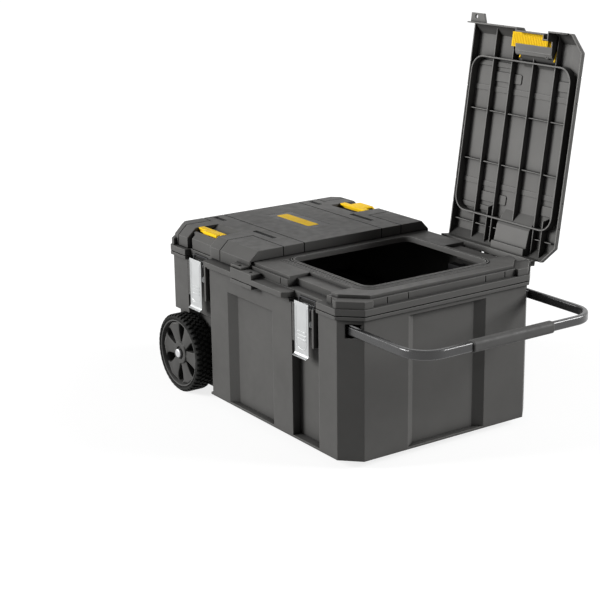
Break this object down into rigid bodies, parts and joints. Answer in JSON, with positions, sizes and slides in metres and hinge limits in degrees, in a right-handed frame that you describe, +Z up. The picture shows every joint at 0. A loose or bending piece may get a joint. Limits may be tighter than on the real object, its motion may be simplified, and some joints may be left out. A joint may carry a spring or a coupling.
{
  "type": "wheeled jobsite storage box",
  "caption": "Wheeled plastic storage box with a hinged deck, lift-up lids with stacking clips, draw latches and a pull-out handle.",
  "frame": {"origin": "on the floor under the lid seam, midway between the front and rear walls", "axes": "+X towards the pull handle, -Y towards the latch front, +Z up"},
  "size_m": [0.9085, 0.6502, 0.8311],
  "materials": {
    "grey_shell": "fine moulded grain",
    "yellow_plastic": "satin moulded",
    "label_plastic": "smooth plate",
    "bright_steel": "galvanised pressing",
    "plated_steel": "zinc plated",
    "black_rubber": "matte",
    "tyre_rubber": "treaded",
    "hub_plastic": "moulded",
    "bush_plastic": "moulded",
    "black_tube": "gloss black",
    "grip_rubber": "matte grip"
  },
  "bodies": {
    "tub": {"tub_shell": "grey_shell", "front_runner": "grey_shell", "rear_runner": "grey_shell", "cross_runner": "grey_shell", "front_handle_sleeve": "grey_shell", "rear_handle_sleeve": "grey_shell", "axle": "plated_steel", "axle_washers": "plated_steel", "front_axle_cap": "plated_steel", "rear_axle_cap": "plated_steel", "right_latch_base": "bright_steel", "left_latch_base": "bright_steel", "right_latch_pin": "plated_steel", "left_latch_pin": "plated_steel", "deck_hinge_pins": "plated_steel"},
    "deck": {"deck_frame": "grey_shell", "rim_seal": "black_rubber", "right_opening_seal": "black_rubber", "left_opening_seal": "black_rubber", "right_lid_hinge_pins": "plated_steel", "left_lid_hinge_pins": "plated_steel"},
    "handle": {"handle_tube": "black_tube", "handle_grip": "grip_rubber", "handle_plugs": "bush_plastic"},
    "left_lid": {"left_lid_shell": "grey_shell", "left_label_plate": "label_plastic", "left_clip_pins": "plated_steel"},
    "left_front_clip": {"left_front_clip": "yellow_plastic"},
    "left_rear_clip": {"left_rear_clip": "yellow_plastic"},
    "left_lever": {"left_latch_lever": "bright_steel"},
    "left_bail": {"left_latch_bail": "plated_steel"},
    "right_lid": {"right_lid_shell": "grey_shell", "right_label_plate": "label_plastic", "right_clip_pins": "plated_steel"},
    "right_front_clip": {"right_front_clip": "yellow_plastic"},
    "right_rear_clip": {"right_rear_clip": "yellow_plastic"},
    "right_lever": {"right_latch_lever": "bright_steel"},
    "right_bail": {"right_latch_bail": "plated_steel"},
    "front_wheel": {"front_wheel_hub": "hub_plastic", "front_wheel_tyre": "tyre_rubber", "front_wheel_bush": "bush_plastic"},
    "rear_wheel": {"rear_wheel_hub": "hub_plastic", "rear_wheel_tyre": "tyre_rubber", "rear_wheel_bush": "bush_plastic"}
  },
  "joints": [
    {"name": "deck_hinge", "type": "hinge", "parent": "tub", "child": "deck", "pos_m": [0, 0.262, 0.314], "axis": [-1, 0, 0], "range_deg": [0, 90]},
    {"name": "left_lid_hinge", "type": "hinge", "parent": "deck", "child": "left_lid", "pos_m": [-0.17, 0.255, 0.321], "axis": [-1, 0, 0], "range_deg": [0, 98]},
    {"name": "right_lid_hinge", "type": "hinge", "parent": "deck", "child": "right_lid", "pos_m": [0.17, 0.255, 0.321], "axis": [1, 0, 0], "range_deg": [0, 98]},
    {"name": "handle_slide", "type": "slide", "parent": "tub", "child": "handle", "axis": [-1, 0, 0], "range_m": [0, 0.15]},
    {"name": "left_front_clip_hinge", "type": "hinge", "parent": "left_lid", "child": "left_front_clip", "pos_m": [-0.21, -0.208, 0.3685], "axis": [1, 0, 0], "range_deg": [0, 12], "stiffness_Nm_per_rad": 0.6},
    {"name": "left_rear_clip_hinge", "type": "hinge", "parent": "left_lid", "child": "left_rear_clip", "pos_m": [-0.21, 0.185, 0.3685], "axis": [-1, 0, 0], "range_deg": [0, 15], "stiffness_Nm_per_rad": 0.6},
    {"name": "left_latch_lever_hinge", "type": "hinge", "parent": "tub", "child": "left_lever", "pos_m": [-0.205, -0.25, 0.309], "axis": [-1, 0, 0], "range_deg": [0, 100]},
    {"name": "left_latch_bail_hinge", "type": "hinge", "parent": "left_lever", "child": "left_bail", "pos_m": [-0.205, -0.246, 0.293], "axis": [1, 0, 0], "range_deg": [0, 100]},
    {"name": "right_front_clip_hinge", "type": "hinge", "parent": "right_lid", "child": "right_front_clip", "pos_m": [0.21, 0.36647, 0.77288], "axis": [1, 0, 0], "range_deg": [0, 12], "stiffness_Nm_per_rad": 0.6},
    {"name": "right_rear_clip_hinge", "type": "hinge", "parent": "right_lid", "child": "right_rear_clip", "pos_m": [0.21, 0.31178, 0.38371], "axis": [-1, 0, 0], "range_deg": [0, 15], "stiffness_Nm_per_rad": 0.6},
    {"name": "right_latch_lever_hinge", "type": "hinge", "parent": "tub", "child": "right_lever", "pos_m": [0.205, -0.25, 0.309], "axis": [-1, 0, 0], "range_deg": [0, 100]},
    {"name": "right_latch_bail_hinge", "type": "hinge", "parent": "right_lever", "child": "right_bail", "pos_m": [0.205, -0.246, 0.293], "axis": [1, 0, 0], "range_deg": [0, 100]},
    {"name": "front_wheel_spin", "type": "hinge", "parent": "tub", "child": "front_wheel", "pos_m": [-0.268, 0, 0.09], "axis": [0, 1, 0], "continuous": true},
    {"name": "rear_wheel_spin", "type": "hinge", "parent": "tub", "child": "rear_wheel", "pos_m": [-0.268, 0, 0.09], "axis": [0, 1, 0], "continuous": true}
  ],
  "couplings": [
    {"joint": "left_latch_bail_hinge", "follows": "left_latch_lever_hinge", "ratio": 1},
    {"joint": "right_latch_bail_hinge", "follows": "right_latch_lever_hinge", "ratio": 1}
  ]
}
